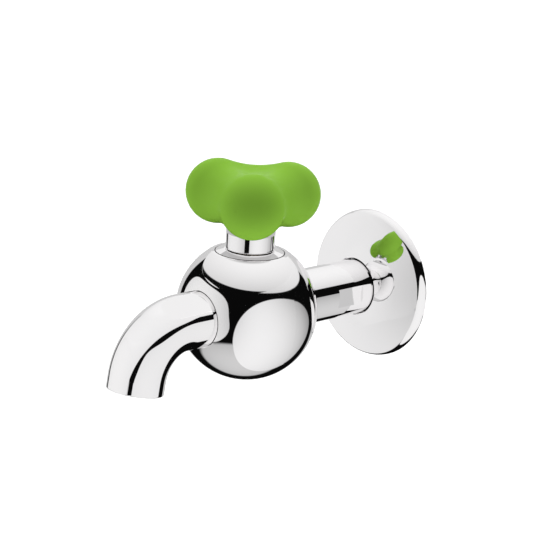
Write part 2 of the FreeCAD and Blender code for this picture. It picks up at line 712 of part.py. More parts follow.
def handle():
    socket = "(spindle_radius + socket_gap)"
    socket_top = "(spindle_top + neck_gap)"
    hub_blank = turned("hub_turning", hub_outline([
        ("0", "post_top"), ("0", socket_top), (socket, socket_top), (socket, "hub_floor"),
        ("hub_cavity", "hub_floor"), ("hub_cavity", hub_bottom)]))
    grub_hole = primitive("Cylinder", "grub_hole", Radius="grub_radius + joint_gap",
                          Height="hub_radius")
    lay_radial(grub_hole, "grub_level", "0")
    over_ball(cut("handle_hub", hub_blank, grub_hole))

    grub_start = f"({socket} + joint_gap)"
    grub_blank = primitive("Cylinder", "grub_blank", Radius="grub_radius", Height="grub_length")
    socket_hex = primitive("Prism", "grub_hexagon", Circumradius="grub_socket",
                           Height="grub_length / 2", Placement__Base__z="grub_length / 2")
    socket_hex.Polygon = 6
    grub = cut("hub_grub_screw", grub_blank, socket_hex)
    lay_radial(grub, "grub_level", grub_start)
    bind(grub, Placement__Base__y=f"{grub_start} - ball_reach")

    form = doc.addObject("Part::Feature", "trefoil_form")
    form.Shape = trefoil_form()
    post = turned("trefoil_socket", hub_outline([("0", "post_top"), ("0", hub_bottom)]))
    over_ball(cut("trefoil_handle", form, post))


def lay_radial(item, level, start):
    # Points an upright piece outwards to the wall side, at a level and a distance from the axis.
    lay(item, x_axis, -90, Placement__Base__y=start, Placement__Base__z=level)


def trefoil_form():
    # Three balls in a triangle, with a hollow rounding of one radius wherever two or three meet.
    # Each pair is a turned form of two balls and the rounding between them, and the middle is a
    # double pyramid hollowed by the two balls that touch all three lobes.
    lobe = value("lobe_radius")
    web = value("web_radius")
    circle = value("lobe_circle_radius")
    heading = value("handle_heading")
    centres = [FreeCAD.Vector(circle, 0, 0)]
    for angle in (120, 240):
        centres.append(FreeCAD.Rotation(z_axis, angle).multVec(centres[0]))
    pairs = [ball_pair(centres[index], centres[(index + 1) % 3], lobe, web) for index in range(3)]
    apex = math.sqrt((lobe + web) ** 2 - circle ** 2)
    middle = double_pyramid(centres, apex)
    for side in (apex, -apex):
        middle = middle.cut(Part.makeSphere(web, FreeCAD.Vector(0, 0, side)))
    form = middle.fuse(pairs).removeSplitter()
    form.rotate(FreeCAD.Vector(0, 0, 0), z_axis, heading)
    form.translate(FreeCAD.Vector(0, 0, value("lobe_level")))
    return form


def ball_pair(start, end, lobe, web):
    along = (end - start).normalize()
    across = z_axis.cross(along)
    half = start.distanceToPoint(end) / 2
    middle = (start + end) * 0.5
    web_centre = middle + across * math.sqrt((lobe + web) ** 2 - half ** 2)
    first_touch = start + (web_centre - start).normalize() * lobe
    last_touch = end + (web_centre - end).normalize() * lobe
    first_tip = start - along * lobe
    last_tip = end + along * lobe

    def on_lobe(centre, one, other):
        toward = (one - centre).normalize() + (other - centre).normalize()
        return centre + toward.normalize() * lobe

    waist = web_centre + (middle - web_centre).normalize() * web
    outline = Part.Wire([
        Part.Arc(first_tip, on_lobe(start, first_tip, first_touch), first_touch).toShape(),
        Part.Arc(first_touch, waist, last_touch).toShape(),
        Part.Arc(last_touch, on_lobe(end, last_touch, last_tip), last_tip).toShape(),
        Part.makeLine(last_tip, first_tip)])
    return Part.Face(outline).revolve(start, along, 360)


def double_pyramid(corners, apex):
    faces = []
    for side in (apex, -apex):
        tip = FreeCAD.Vector(0, 0, side)
        for index in range(3):
            outline = [corners[index], corners[(index + 1) % 3], tip, corners[index]]
            faces.append(Part.Face(Part.makePolygon(outline)))
    return Part.Solid(Part.Shell(faces))


ball_body()
inlet_tube()
joint_washers()
wall_flange()
spout_tube()
aerator()
headwork_body()
bonnet_ring()
discs()
spindle()
handle()
doc.recompute()

node_names = [
    "ball_body", "inlet_tube", "inlet_washer", "spout_tube", "spout_washer", "wall_flange",
    "flange_grip_ring", "headwork_body", "headwork_gasket", "bonnet_ring", "seat_seal",
    "fixed_disc", "turning_disc", "spindle", "slip_washer", "lower_spindle_ring",
    "upper_spindle_ring", "spindle_clip", "handle_hub", "hub_grub_screw", "trefoil_handle",
    "aerator_housing", "aerator_insert", "aerator_screen", "aerator_washer",
]

for item in doc.Objects:
    if "Invalid" in item.State or "Error" in item.State:
        raise RuntimeError(f"{item.Name} could not be built: {item.State}")
for name in node_names:
    shape = doc.getObject(name).Shape
    if shape.isNull() or not shape.isValid() or not shape.Solids:
        raise RuntimeError(f"{name} has no valid solid")

os.makedirs("parts", exist_ok=True)
for name in node_names:
    node = doc.getObject(name)
    node.Label = name
    node.Shape.exportStep(f"parts/{name}.step")
    print(name, len(node.Shape.Solids), "solid", round(node.Shape.Volume, 1), "mm3")
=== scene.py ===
import json
import math

import bmesh
import bpy
from mathutils import Matrix, Vector


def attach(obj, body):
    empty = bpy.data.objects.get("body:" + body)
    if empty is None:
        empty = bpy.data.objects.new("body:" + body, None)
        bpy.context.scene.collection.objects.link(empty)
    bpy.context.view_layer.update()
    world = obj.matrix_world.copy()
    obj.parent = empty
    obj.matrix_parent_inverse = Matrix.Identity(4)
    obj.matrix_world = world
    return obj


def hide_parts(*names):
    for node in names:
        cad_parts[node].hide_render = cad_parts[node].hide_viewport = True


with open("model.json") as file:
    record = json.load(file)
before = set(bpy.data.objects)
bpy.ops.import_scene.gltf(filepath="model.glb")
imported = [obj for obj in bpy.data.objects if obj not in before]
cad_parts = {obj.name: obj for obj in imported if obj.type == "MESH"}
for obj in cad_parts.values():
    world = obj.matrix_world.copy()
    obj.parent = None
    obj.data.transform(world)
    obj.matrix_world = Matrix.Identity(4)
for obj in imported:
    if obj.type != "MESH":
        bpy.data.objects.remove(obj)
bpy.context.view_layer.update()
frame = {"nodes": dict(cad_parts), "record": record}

nodes = frame["nodes"]


def direction(azimuth, elevation):
    a, e = math.radians(azimuth), math.radians(elevation)
    return Vector((math.cos(a) * math.cos(e), math.sin(a) * math.cos(e), math.sin(e)))


# ---- small helpers for node trees ----
def addNode(tree, kind, settings=None, inputs=None):
    node = tree.nodes.new(kind)
    for name, value in (settings or {}).items():
        setattr(node, name, value)
    for name, value in (inputs or {}).items():
        if isinstance(value, bpy.types.NodeSocket):
            tree.links.new(value, node.inputs[name])
        else:
            node.inputs[name].default_value = value
    return node


def mathNode(tree, operation, *values, clamp=False):
    node = tree.nodes.new("ShaderNodeMath")
    node.operation = operation
    node.use_clamp = clamp
    for place, value in enumerate(values):
        if isinstance(value, bpy.types.NodeSocket):
            tree.links.new(value, node.inputs[place])
        else:
            node.inputs[place].default_value = value
    return node.outputs[0]


def colour(red, green, blue):
    # screen colour 0-255 to the linear colour that nodes want
    def linear(c):
        c = c / 255
        return c / 12.92 if c <= 0.04045 else ((c + 0.055) / 1.055) ** 2.4
    return (linear(red), linear(green), linear(blue), 1.0)


# ---- camera, at the photograph's angle ----
cameraLook = {
    "ballHeight": 0.0,  # the camera is aimed from the ball's centre
    "ballFromWall": -0.070,
    "azimuth": -44.0,
    "elevation": 16.52,
    "roll": 3.295,
    "distance": 0.900,
    "lens": 154.93,
    "sensor": 36.0,
    "shiftRight": 0.0435,
    "shiftUp": 0.0717,
}


def makeCamera(look):
    back = direction(look["azimuth"], look["elevation"])
    camera = bpy.data.objects.new("photoCamera", bpy.data.cameras.new("photoCamera"))
    bpy.context.scene.collection.objects.link(camera)
    camera.data.lens = look["lens"]
    camera.data.sensor_width = look["sensor"]
    camera.data.shift_x = look["shiftRight"]
    camera.data.shift_y = look["shiftUp"]
    camera.location = Vector((0.0, look["ballFromWall"], look["ballHeight"])) + back * look["distance"]
    camera.rotation_mode = "QUATERNION"
    aim = (-back).to_track_quat("-Z", "Y").to_matrix()
    roll = Matrix.Rotation(math.radians(look["roll"]), 3, "Z")
    camera.rotation_quaternion = (aim @ roll).to_quaternion()
    bpy.context.scene.camera = camera


bpy.context.scene.view_settings.view_transform = "Standard"
makeCamera(cameraLook)
print("camera is in place")


# ---- studio: soft panels round the object, seen in the chrome, and soft light for the plastics ----
studioLook = {
    "background": 1.0,  # what the camera sees past the floor
    "darkness": 0.003,  # what the chrome sees beside the panels
    "softStrength": 1.90,
    "skyLift": 0.06,  # more soft light from above and less from below
}

# dark curtains in the soft light: full up to their near angle, and gone past their far angle
softCurtains = [
    {"azimuth": -44.0, "elevation": 20.0, "near": 40.0, "far": 66.0, "dim": 0.97},
    {"azimuth": 136.0, "elevation": -12.0, "near": 30.0, "far": 85.0, "dim": 0.75},
    {"azimuth": -134.0, "elevation": 0.0, "near": 15.0, "far": 50.0, "dim": 0.62},
    {"azimuth": 46.0, "elevation": 0.0, "near": 15.0, "far": 50.0, "dim": 0.70},
]

# a panel's place, turn and half sizes are angles in degrees, as seen from the tap. roundness 2 is an
# ellipse and more is squarer, and edge is how far it blurs. shade is its brightness in the middle, its
# change across and along, and its fall-off across, crosswise and along
lightPanels = {
    "ceiling": {"azimuth": 120.0, "elevation": 76.5, "turn": 0.0, "halfWidth": 59.5, "halfHeight": 59.5,
                "roundness": 2.0, "edge": 0.03, "shade": (0.98, 0.03, -0.11, -0.25, 0.0, -0.21)},
    "right": {"azimuth": 8.8, "elevation": -32.1, "turn": -29.8, "halfWidth": 67.0, "halfHeight": 56.9,
              "roundness": 2.03, "edge": 0.03, "shade": (0.90, -0.15, -0.17, -0.26, -0.30, -0.18)},
    "left": {"azimuth": -122.5, "elevation": -6.9, "turn": 6.2, "halfWidth": 51.5, "halfHeight": 38.4,
             "roundness": 2.9, "edge": 0.03, "shade": (0.88, -0.08, 0.0, -0.20, 0.0, -0.05)},
    "behind": {"azimuth": 132.5, "elevation": 0.0, "turn": 0.0, "halfWidth": 38.5, "halfHeight": 28.0,
               "roundness": 4.0, "edge": 0.12, "shade": (0.62, 0.0, 0.05, 0.0, 0.0, 0.0)},
    "table": {"azimuth": -60.0, "elevation": -84.0, "turn": 0.0, "halfWidth": 44.0, "halfHeight": 40.0,
              "roundness": 2.0, "edge": 0.15, "shade": (0.66, 0.0, 0.0, -0.15, 0.0, -0.15)},
}

# these three light everything. The right panel and the table hang as far screens further down,
# because some pieces mirror a panel of their own instead
sharedPanels = [lightPanels[name] for name in ("ceiling", "left", "behind")]


def panelPlace(tree, place, panel):
    # where a direction falls on a panel, from -1 to 1 across and along it
    outward = direction(panel["azimuth"], panel["elevation"])
    side = Vector((0, 0, 1)).cross(outward).normalized()
    rise = outward.cross(side)
    turn = math.radians(panel["turn"])
    across = side * math.cos(turn) + rise * math.sin(turn)
    along = rise * math.cos(turn) - side * math.sin(turn)

    def against(vector):
        node = addNode(tree, "ShaderNodeVectorMath", {"operation": "DOT_PRODUCT"}, {0: place, 1: vector})
        return node.outputs["Value"]

    depth = mathNode(tree, "ADD", against(outward), 1.0)
    spots = []
    for axis, halfAngle in ((across, panel["halfWidth"]), (along, panel["halfHeight"])):
        reach = math.tan(math.radians(halfAngle) / 2)
        spots.append(mathNode(tree, "DIVIDE", mathNode(tree, "DIVIDE", against(axis), depth), reach))
    return spots


def panelShade(tree, spots, panel):
    u, v = spots
    terms = (u, v, mathNode(tree, "MULTIPLY", u, u), mathNode(tree, "MULTIPLY", u, v),
             mathNode(tree, "MULTIPLY", v, v))
    bright = panel["shade"][0]
    for term, change in zip(terms, panel["shade"][1:]):
        bright = mathNode(tree, "MULTIPLY_ADD", term, change, bright)
    return bright


def panelMask(tree, place, panel):
    # the panel's brightness in a direction, and nothing outside the panel
    spots = panelPlace(tree, place, panel)
    total = None
    for spot in spots:
        part = mathNode(tree, "POWER", mathNode(tree, "ABSOLUTE", spot), panel["roundness"])
        total = part if total is None else mathNode(tree, "ADD", total, part)
    fade = addNode(tree, "ShaderNodeMapRange", {"interpolation_type": "SMOOTHSTEP"},
                   {"Value": total, "From Min": 1.0 + panel["edge"], "From Max": 1.0 - panel["edge"],
                    "To Min": 0.0, "To Max": 1.0})
    return mathNode(tree, "MULTIPLY", fade.outputs["Result"], panelShade(tree, spots, panel))


def brightest(tree, outward, panels):
    light = None
    for panel in panels:
        mask = panelMask(tree, outward, panel)
        light = mask if light is None else mathNode(tree, "MAXIMUM", light, mask)
    return light


def makeStudio(look, curtains, panels):
    world = bpy.data.worlds.new("studio")
    bpy.context.scene.world = world
    world.use_nodes = True
    tree = world.node_tree
    tree.nodes.clear()
    place = addNode(tree, "ShaderNodeTexCoord").outputs["Generated"]
    mirror = mathNode(tree, "ADD", brightest(tree, place, panels), look["darkness"])
    height = addNode(tree, "ShaderNodeSeparateXYZ", None, {"Vector": place}).outputs["Z"]
    soft = mathNode(tree, "MULTIPLY_ADD", height, look["skyLift"], 1.0)
    for curtain in curtains:
        facing = addNode(tree, "ShaderNodeVectorMath", {"operation": "DOT_PRODUCT"},
                         {0: place, 1: direction(curtain["azimuth"], curtain["elevation"])})
        dim = addNode(tree, "ShaderNodeMapRange", {"interpolation_type": "SMOOTHSTEP"},
                      {"Value": facing.outputs["Value"], "From Min": math.cos(math.radians(curtain["far"])),
                       "From Max": math.cos(math.radians(curtain["near"])),
                       "To Min": 1.0, "To Max": 1.0 - curtain["dim"]})
        soft = mathNode(tree, "MULTIPLY", soft, dim.outputs["Result"])
    soft = mathNode(tree, "MULTIPLY", soft, look["softStrength"])

    def choose(test, ifTrue, ifFalse):
        node = addNode(tree, "ShaderNodeMix", {"data_type": "FLOAT"})
        tree.links.new(test, node.inputs[0])
        for socket, value in ((node.inputs[2], ifFalse), (node.inputs[3], ifTrue)):
            if isinstance(value, bpy.types.NodeSocket):
                tree.links.new(value, socket)
            else:
                socket.default_value = value
        return node.outputs[0]

    rays = addNode(tree, "ShaderNodeLightPath")
    strength = choose(rays.outputs["Is Glossy Ray"], mirror, soft)
    strength = choose(rays.outputs["Is Camera Ray"], look["background"], strength)
    glow = addNode(tree, "ShaderNodeBackground", None, {"Strength": strength, "Color": (1, 1, 1, 1)})
    addNode(tree, "ShaderNodeOutputWorld", None, {"Surface": glow.outputs[0]})


makeStudio(studioLook, softCurtains, sharedPanels)
print("studio light is in place")


# ---- helpers for materials and pieces ----
def newMaterial(name):
    material = bpy.data.materials.new(name)
    material.use_nodes = True
    tree = material.node_tree
    tree.nodes.clear()
    shader = addNode(tree, "ShaderNodeBsdfPrincipled")
    addNode(tree, "ShaderNodeOutputMaterial", None, {"Surface": shader.outputs[0]})
    place = addNode(tree, "ShaderNodeTexCoord").outputs["Object"]
    return material, tree, shader, place


def makePiece(name, mesh):
    data = bpy.data.meshes.new(name)
    mesh.to_mesh(data)
    mesh.free()
    piece = bpy.data.objects.new(name, data)
    bpy.context.scene.collection.objects.link(piece)
    return piece


def speckle(tree, place, scale, detail, stretch=(1, 1, 1)):
    # soft noise round 0.5, finer along the axes that are stretched more
    stretched = addNode(tree, "ShaderNodeMapping", None, {"Vector": place, "Scale": stretch})
    noise = addNode(tree, "ShaderNodeTexNoise", None,
                    {"Vector": stretched.outputs[0], "Scale": scale, "Detail": detail})
    return noise.outputs["Fac"]


def between(tree, mask, low, high, start=0.3, stop=0.7):
    # low up to where the mask is at start, high from where it is at stop
    spread = addNode(tree, "ShaderNodeMapRange", None, {"Value": mask, "From Min": start, "From Max": stop,
                                                        "To Min": low, "To Max": high})
    return spread.outputs["Result"]


def tint(tree, shader, mask, first, second):
    mixed = addNode(tree, "ShaderNodeMix", {"data_type": "RGBA"})
    tree.links.new(between(tree, mask, 0.0, 1.0), mixed.inputs[0])
    mixed.inputs[6].default_value = first
    mixed.inputs[7].default_value = second
    tree.links.new(mixed.outputs[2], shader.inputs["Base Color"])


def emboss(tree, shader, height, depth):
    bump = addNode(tree, "ShaderNodeBump", None, {"Height": height, "Distance": depth, "Strength": 1.0})
    tree.links.new(bump.outputs[0], shader.inputs["Normal"])


# ---- finishes: each pattern is one entry, with its scale per metre, detail and stretch ----
chromeLook = {
    "cool": (0.925, 0.918, 0.925, 1), "warm": (0.945, 0.933, 0.935, 1),
    "haze": {"scale": 38.0, "detail": 5.0},
    "wipes": {"scale": 240.0, "detail": 2.0, "stretch": (1.0, 0.25, 1.6)},
    "clean": 0.012, "hazy": 0.045, "hazeStart": 0.15, "hazeStop": 0.4,
}


def chromePlate(look):
    # bright plating: a faint haze where hands and cloths have been, and slow drift between cool and warm
    material, tree, shader, place = newMaterial("chromePlate")
    shader.inputs["Metallic"].default_value = 1.0
    haze = speckle(tree, place, **look["haze"])
    wipes = speckle(tree, place, **look["wipes"])
    tint(tree, shader, haze, look["cool"], look["warm"])
    dull = mathNode(tree, "MULTIPLY", haze, wipes)
    dull = between(tree, dull, look["clean"], look["hazy"], look["hazeStart"], look["hazeStop"])
    tree.links.new(dull, shader.inputs["Roughness"])
    return material


greenLook = {
    "deep": colour(133, 186, 60), "fresh": colour(139, 191, 66),
    "clouds": {"scale": 26.0, "detail": 3.0},
    "grain": {"scale": 2400.0, "detail": 2.0}, "grainDepth": 0.000003,
    "satinLow": 0.15, "satinHigh": 0.20, "gloss": 0.006,
}


def greenPlastic(look):
    # satin moulded plastic: fine spark-eroded grain, and colour that drifts a little through the moulding
    material, tree, shader, place = newMaterial("greenPlastic")
    shader.inputs["Specular IOR Level"].default_value = look["gloss"]
    clouds = speckle(tree, place, **look["clouds"])
    grain = speckle(tree, place, **look["grain"])
    tint(tree, shader, clouds, look["deep"], look["fresh"])
    tree.links.new(between(tree, grain, look["satinLow"], look["satinHigh"]), shader.inputs["Roughness"])
    emboss(tree, shader, grain, look["grainDepth"])
    return material


brassLook = {
    "dull": colour(184, 142, 70), "bright": colour(222, 186, 104),
    "patina": {"scale": 160.0, "detail": 4.0},
    "rings": {"scale": 90.0, "detail": 2.0, "stretch": (0.3, 0.3, 40.0)}, "ringDepth": 0.00002,
    "smooth": 0.20, "rough": 0.38,
}


def rawBrass(look):
    # machined brass: fine rings from the lathe round the upright axis
    material, tree, shader, place = newMaterial("rawBrass")
    shader.inputs["Metallic"].default_value = 1.0
    rings = speckle(tree, place, **look["rings"])
    patina = speckle(tree, place, **look["patina"])
    tint(tree, shader, patina, look["dull"], look["bright"])
    tree.links.new(between(tree, rings, look["smooth"], look["rough"]), shader.inputs["Roughness"])
    emboss(tree, shader, rings, look["ringDepth"])
    return material


steelLook = {
    "dark": (0.50, 0.50, 0.51, 1), "light": (0.68, 0.68, 0.69, 1),
    "brushing": {"scale": 60.0, "detail": 3.0, "stretch": (1.0, 30.0, 1.0)},
    "smooth": 0.16, "rough": 0.34,
}


def brightSteel(look):
    # rolled steel with a fine brushed grain
    material, tree, shader, place = newMaterial("steel")
    shader.inputs["Metallic"].default_value = 1.0
    brushing = speckle(tree, place, **look["brushing"])
    tint(tree, shader, brushing, look["dark"], look["light"])
    tree.links.new(between(tree, brushing, look["smooth"], look["rough"]), shader.inputs["Roughness"])
    return material


rubberLook = {
    "black": colour(24, 24, 25), "grey": colour(46, 46, 47),
    "bloom": {"scale": 300.0, "detail": 4.0},
    "grain": {"scale": 2200.0, "detail": 2.0}, "grainDepth": 0.00004,
    "smooth": 0.45, "rough": 0.68,
}


def blackRubber(look):
    # moulded rubber with a grey bloom
    material, tree, shader, place = newMaterial("blackRubber")
    bloom = speckle(tree, place, **look["bloom"])
    grain = speckle(tree, place, **look["grain"])
    tint(tree, shader, bloom, look["black"], look["grey"])
    tree.links.new(between(tree, bloom, look["smooth"], look["rough"]), shader.inputs["Roughness"])
    emboss(tree, shader, grain, look["grainDepth"])
    return material


fibreLook = {
    "dark": colour(118, 36, 28), "light": colour(176, 74, 56),
    "strands": {"scale": 900.0, "detail": 4.0, "stretch": (1.0, 0.3, 1.0)}, "strandDepth": 0.00005,
    "rough": 0.85,
}


def redFibre(look):
    # pressed fibre: matted strands of two reds
    material, tree, shader, place = newMaterial("redFibre")
    shader.inputs["Roughness"].default_value = look["rough"]
    strands = speckle(tree, place, **look["strands"])
    tint(tree, shader, strands, look["dark"], look["light"])
    emboss(tree, shader, strands, look["strandDepth"])
    return material


ceramicLook = {
    "cream": colour(228, 224, 214), "white": colour(242, 241, 237),
    "grain": {"scale": 700.0, "detail": 4.0},
    "lapped": 0.10, "fired": 0.24,
}


def whiteCeramic(look):
    # lapped alumina: nearly mirror flat, with a trace of its grain
    material, tree, shader, place = newMaterial("whiteCeramic")
    grain = speckle(tree, place, **look["grain"])
    tint(tree, shader, grain, look["cream"], look["white"])
    tree.links.new(between(tree, grain, look["lapped"], look["fired"]), shader.inputs["Roughness"])
    return material


acetalLook = {
    "dark": colour(138, 141, 144), "light": colour(160, 162, 164),
    "flow": {"scale": 180.0, "detail": 3.0, "stretch": (1.0, 1.0, 0.4)},
    "grain": {"scale": 1800.0, "detail": 2.0}, "grainDepth": 0.00003,
    "smooth": 0.32, "rough": 0.48,
}


def greyAcetal(look):
    # moulded acetal with faint flow marks
    material, tree, shader, place = newMaterial("greyAcetal")
    flow = speckle(tree, place, **look["flow"])
    grain = speckle(tree, place, **look["grain"])
    tint(tree, shader, flow, look["dark"], look["light"])
    tree.links.new(between(tree, grain, look["smooth"], look["rough"]), shader.inputs["Roughness"])
    emboss(tree, shader, grain, look["grainDepth"])
    return material


# ---- stage cards: they light the mirrors only ----
def offCamera(card):
    # the camera and the plastics don't see the card, and it casts no shadow
    card.visible_camera = False
    card.visible_diffuse = False
    card.visible_shadow = False


def mirrorOnlyIn(card, names):
    mirrors = bpy.data.collections.new(card.name + "Mirrors")
    for name in names:
        mirrors.objects.link(nodes.get(name) or bpy.data.objects[name])
    card.light_linking.receiver_collection = mirrors
    return mirrors


def glowMaterial(name, strengthOf, clearOf=None):
    # glows over what lies behind it, or hides it where clearOf gives 0
    material, tree, shader, place = newMaterial(name)
    tree.nodes.remove(shader)
    output = next(node for node in tree.nodes if node.type == "OUTPUT_MATERIAL")
    glow = addNode(tree, "ShaderNodeEmission", None, {"Strength": strengthOf(tree, place)})
    clear = addNode(tree, "ShaderNodeBsdfTransparent")
    if clearOf is None:
        both = addNode(tree, "ShaderNodeAddShader", None, {0: glow.outputs[0], 1: clear.outputs[0]})
    else:
        both = addNode(tree, "ShaderNodeMixShader", None,
                       {0: clearOf(tree, place), 1: glow.outputs[0], 2: clear.outputs[0]})
    tree.links.new(both.outputs[0], output.inputs["Surface"])
    return material


# ---- handle card: a ring under the handle that keeps its green out of the ball and the spout ----
handleCardLook = {
    "height": 0.0305,
    "inner": 0.0096,
    "outer": 0.0360,
    "aside": 0.0100,  # the outer rim is off centre, away from the wall
    "asideHeading": -67.0,
    "around": 96,
    "sourceSide": 0.0165,  # the card shows the panels as they would be seen from here
    "sourceHeading": -44.0,
    "sourceHeight": 0.0086,
    "greyOut": 0.0157,  # the middle is greyer, which shows in the bonnet ring
    "greyBlur": 0.0010,
    "greyShade": 0.55,
    "nearWall": -0.045,  # a mirror that is further off than the reach sees past the card
    "wallReach": 0.030,
    "nearSpout": -0.070,
    "spoutReach": 0.052,
    "spoutGap": 0.0001,  # the spout mirrors a plain card of its own, this far below
    "spoutShade": 0.93,
}


def cardRing(name, look, height):
    mesh = bmesh.new()
    middle = Vector((0.0, cameraLook["ballFromWall"], height))
    aside = direction(look["asideHeading"], 0.0) * look["aside"]
    for centre, radius in ((middle, look["inner"]), (middle + aside, look["outer"])):
        bmesh.ops.create_circle(mesh, segments=look["around"], radius=radius,
                                matrix=Matrix.Translation(centre))
    bmesh.ops.bridge_loops(mesh, edges=mesh.edges)
    return makePiece(name, mesh)


def makeHandleCard(look, panels):
    middle = Vector((0.0, cameraLook["ballFromWall"], look["height"]))
    source = direction(look["sourceHeading"], 0.0) * look["sourceSide"]
    source += Vector((0.0, cameraLook["ballFromWall"], look["sourceHeight"]))

    def strengthOf(tree, place):
        outward = addNode(tree, "ShaderNodeVectorMath", {"operation": "SUBTRACT"}, {0: place, 1: source})
        outward = addNode(tree, "ShaderNodeVectorMath", {"operation": "NORMALIZE"}, {0: outward.outputs[0]})
        light = mathNode(tree, "ADD", brightest(tree, outward.outputs[0], panels), studioLook["darkness"])
        fromMiddle = addNode(tree, "ShaderNodeVectorMath", {"operation": "DISTANCE"}, {0: place, 1: middle})
        grey = addNode(tree, "ShaderNodeMapRange", None,
                       {"Value": fromMiddle.outputs["Value"], "To Min": look["greyShade"], "To Max": 1.0,
                        "From Min": look["greyOut"] - look["greyBlur"], "From Max": look["greyOut"]})
        return mathNode(tree, "MULTIPLY", light, grey.outputs["Result"])

    def clearOf(tree, place):
        along = addNode(tree, "ShaderNodeSeparateXYZ", None, {"Vector": place}).outputs["Y"]
        reach = addNode(tree, "ShaderNodeMapRange", None,
                        {"Value": along, "From Min": look["nearSpout"], "From Max": look["nearWall"],
                         "To Min": look["spoutReach"], "To Max": look["wallReach"]})
        rayLength = addNode(tree, "ShaderNodeLightPath").outputs["Ray Length"]
        return mathNode(tree, "GREATER_THAN", rayLength, reach.outputs["Result"])

    card = cardRing("handleCard", look, look["height"])
    card.data.materials.append(glowMaterial("cardGlow", strengthOf, clearOf))
    offCamera(card)
    mirrorOnlyIn(card, [name for name in nodes if name not in ("trefoil_handle", "spout_tube")])


def makeSpoutCard(look):
    def strengthOf(tree, place):
        return look["spoutShade"]

    card = cardRing("spoutCard", look, look["height"] - look["spoutGap"])
    card.data.materials.append(glowMaterial("spoutCardGlow", strengthOf))
    offCamera(card)
    mirrorOnlyIn(card, ["spout_tube"])


makeHandleCard(handleCardLook, lightPanels.values())
makeSpoutCard(handleCardLook)
print("handle card is in place")


# ---- every piece gets the finish that the record names ----
chrome = chromePlate(chromeLook)
finishes = {
    "chrome_plate": chrome,
    "green_plastic": greenPlastic(greenLook),
    "raw_brass": rawBrass(brassLook),
    "steel": brightSteel(steelLook),
    "black_rubber": blackRubber(rubberLook),
    "red_fibre": redFibre(fibreLook),
    "white_ceramic": whiteCeramic(ceramicLook),
    "grey_acetal": greyAcetal(acetalLook),
}
for row in frame["record"]["subparts"]:
    nodes[row["node"]].data.materials.clear()
    nodes[row["node"]].data.materials.append(finishes[row["material_slot"]])
print("finishes are on the pieces")


# ---- inlet tube: turned tube with two spanner flats, and a pipe thread that goes into the wall ----
inletLook = {
    "bore": 0.0075,
    "tubeRadius": 0.0110,
    "threadCrest": 0.010478,
    "threadRoot": 0.009316,
    "threadPitch": 0.001814,
    "threadSunk": 0.00005,  # the ridge reaches this far into the tube
    "threadFlank": 0.47,  # half widths of the ridge, in pitches: at its foot, shoulder and crest
    "threadShoulder": 0.10,
    "threadCrestHalf": 0.04,
    "threadRounding": 0.0001,
    "threadSteps": 40,  # round one turn
    "spigotRadius": 0.0100,
    "tailEnd": 0.0150,  # distances from the wall, in front of it below zero
    "tailFront": -0.0030,
    "tubeFront": -0.0035,
    "shoulder": -0.0460,
    "spigotTip": -0.0515,
    "flatsNear": -0.0164,
    "flatsFar": -0.0297,
    "flatFromAxis": 0.01035,
    "lead": 0.0006,  # bevel at the open end
    "edgeBreak": 0.00022,
    "edgeAngle": 12.0,  # edges sharper than this are broken
    "threadAngle": 50.0,  # edges sharper than this stay sharp in the thread
    "around": 128,
    "merge": 0.000001,
}


def makeInletTube(look):
    mesh = bmesh.new()
    outline = [(look["bore"], look["tailEnd"]), (look["threadRoot"] - look["lead"], look["tailEnd"]),
               (look["threadRoot"], look["tailEnd"] - look["lead"]),
               (look["threadRoot"], look["tailFront"] + look["lead"]),
               (look["threadCrest"], look["tailFront"]), (look["tubeRadius"], look["tubeFront"]),
               (look["tubeRadius"], look["flatsNear"]), (look["tubeRadius"], look["flatsFar"]),
               (look["tubeRadius"], look["shoulder"]), (look["spigotRadius"], look["shoulder"]),
               (look["spigotRadius"], look["spigotTip"]), (look["bore"], look["spigotTip"])]
    points = [mesh.verts.new((radius, fromWall, 0.0)) for radius, fromWall in outline]
    rim = [mesh.edges.new((points[i - 1], points[i])) for i in range(len(points))]
    bmesh.ops.spin(mesh, geom=points + rim, cent=(0, 0, 0), axis=(0, 1, 0), angle=math.tau,
                   steps=look["around"], use_merge=True)
    bmesh.ops.remove_doubles(mesh, verts=mesh.verts, dist=look["merge"])
    for side in (1, -1):
        cutFlat(mesh, look, side)
    bmesh.ops.recalc_face_normals(mesh, faces=mesh.faces)
    limit = math.radians(look["edgeAngle"])
    sharp = [edge for edge in mesh.edges if edge.is_manifold and edge.calc_face_angle() > limit]
    bmesh.ops.bevel(mesh, geom=sharp, affect="EDGES", offset=look["edgeBreak"], offset_type="OFFSET",
                    segments=2, profile=0.5, material=-1, clamp_overlap=True)
    tube = makePiece("inletTubeTurned", mesh)
    tube.data.shade_smooth()
    evenNormals = tube.modifiers.new("evenNormals", "WEIGHTED_NORMAL")
    evenNormals.weight = 100
    return tube


def cutFlat(mesh, look, side):
    # takes one spanner flat off the round and closes it with a flat face and its two end steps
    near, far, depth, merge = look["flatsNear"], look["flatsFar"], look["flatFromAxis"], look["merge"]
    wall = [face for face in mesh.faces
            if abs(face.calc_center_median().y - (near + far) / 2) < merge
            and face.calc_center_median().xz.length > (look["bore"] + depth) / 2]
    parts = list({part for face in wall for part in (*face.verts, *face.edges)}) + wall
    bmesh.ops.bisect_plane(mesh, geom=parts, plane_co=(side * depth, 0, 0), plane_no=(side, 0, 0))
    spare = [face for face in mesh.faces
             if far < face.calc_center_median().y < near and side * face.calc_center_median().x > depth]
    bmesh.ops.delete(mesh, geom=spare, context="FACES_KEEP_BOUNDARY")
    openEdges = [edge for edge in mesh.edges if edge.is_boundary]
    corners = {point for edge in openEdges for point in edge.verts
               if abs(side * point.co.x - depth) < merge}
    for fromWall in (near, far):
        pair = [point for point in corners if abs(point.co.y - fromWall) < merge]
        openEdges.append(mesh.edges.new(pair))
    bmesh.ops.edgenet_fill(mesh, edges=openEdges)


